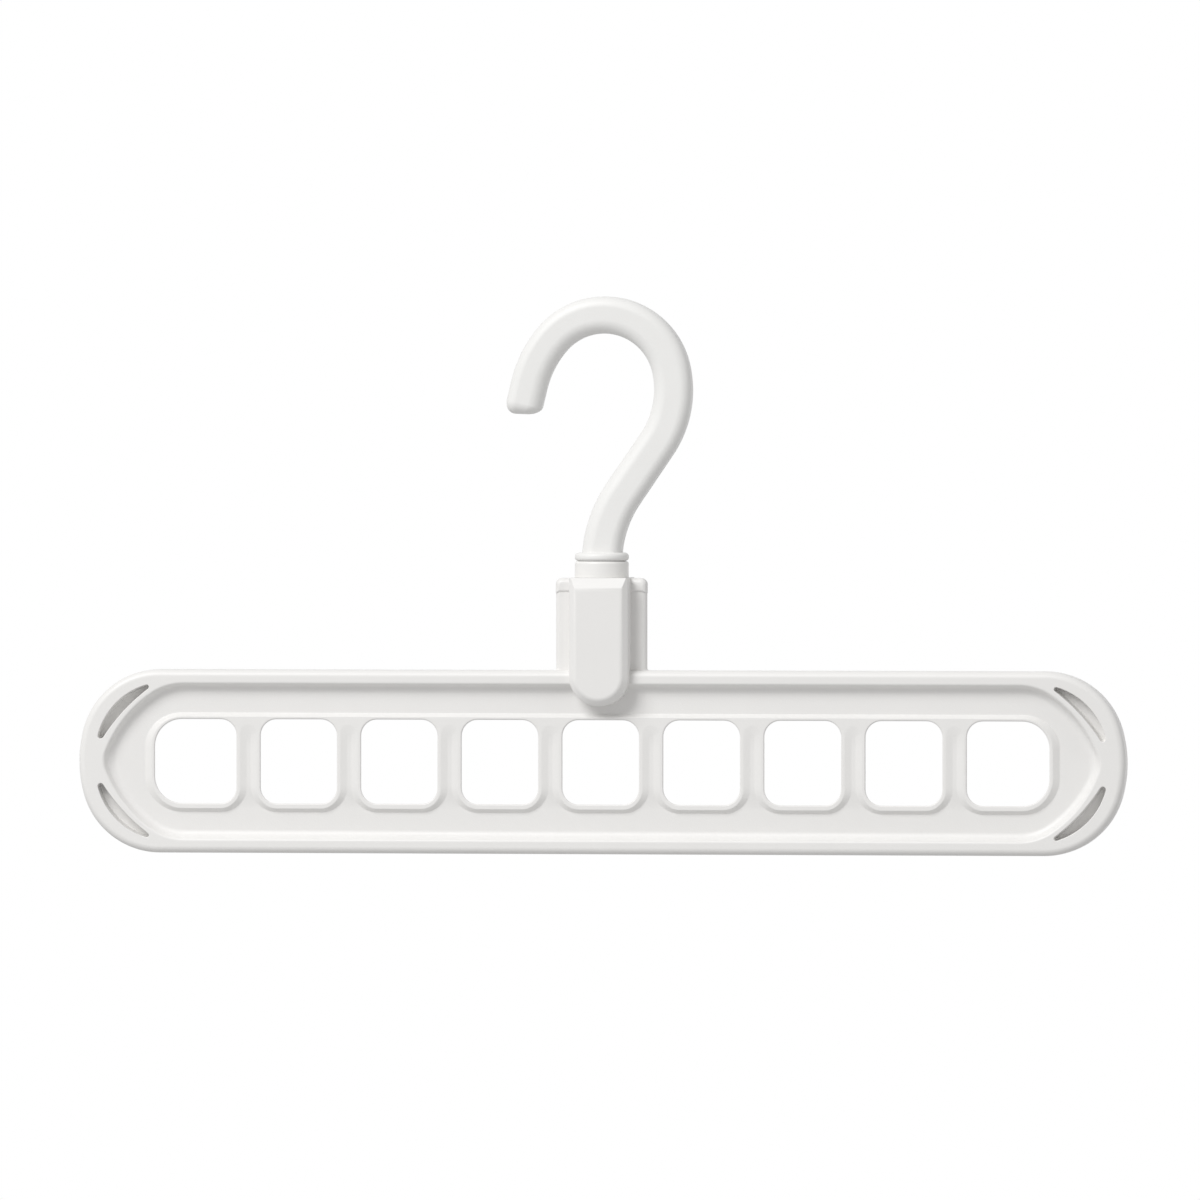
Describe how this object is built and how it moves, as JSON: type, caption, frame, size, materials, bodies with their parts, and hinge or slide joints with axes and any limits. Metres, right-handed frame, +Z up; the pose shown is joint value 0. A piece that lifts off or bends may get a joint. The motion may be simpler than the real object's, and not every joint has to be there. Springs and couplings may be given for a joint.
{
  "type": "multi-hole clothes hanger",
  "caption": "White plastic space-saving hanger: a long flat frame with a row of lipped holes for other hangers and a gooseneck hook that swivels on a square barrel.",
  "frame": {"origin": "on the hook's swivel axis, at the underside of its crown, where it rests on a rod", "axes": "+X along the frame, away from the side the hook opens to; -Y the front with the lips; +Z up"},
  "size_m": [0.35, 0.0216, 0.1852],
  "materials": {
    "frame_plastic": "satin white moulding",
    "hook_plastic": "satin white moulding",
    "sleeve_plastic": "satin white moulding",
    "ring_plastic": "natural, unpolished"
  },
  "bodies": {
    "hook": {"hook": "hook_plastic", "retaining_ring": "ring_plastic"},
    "frame": {"hanger_body": "frame_plastic", "swivel_sleeve": "sleeve_plastic"}
  },
  "joints": [
    {"name": "hook_swivel", "type": "hinge", "parent": "hook", "child": "frame", "pos_m": [0, 0, -0.07572], "axis": [0, 0, 1], "continuous": true}
  ]
}
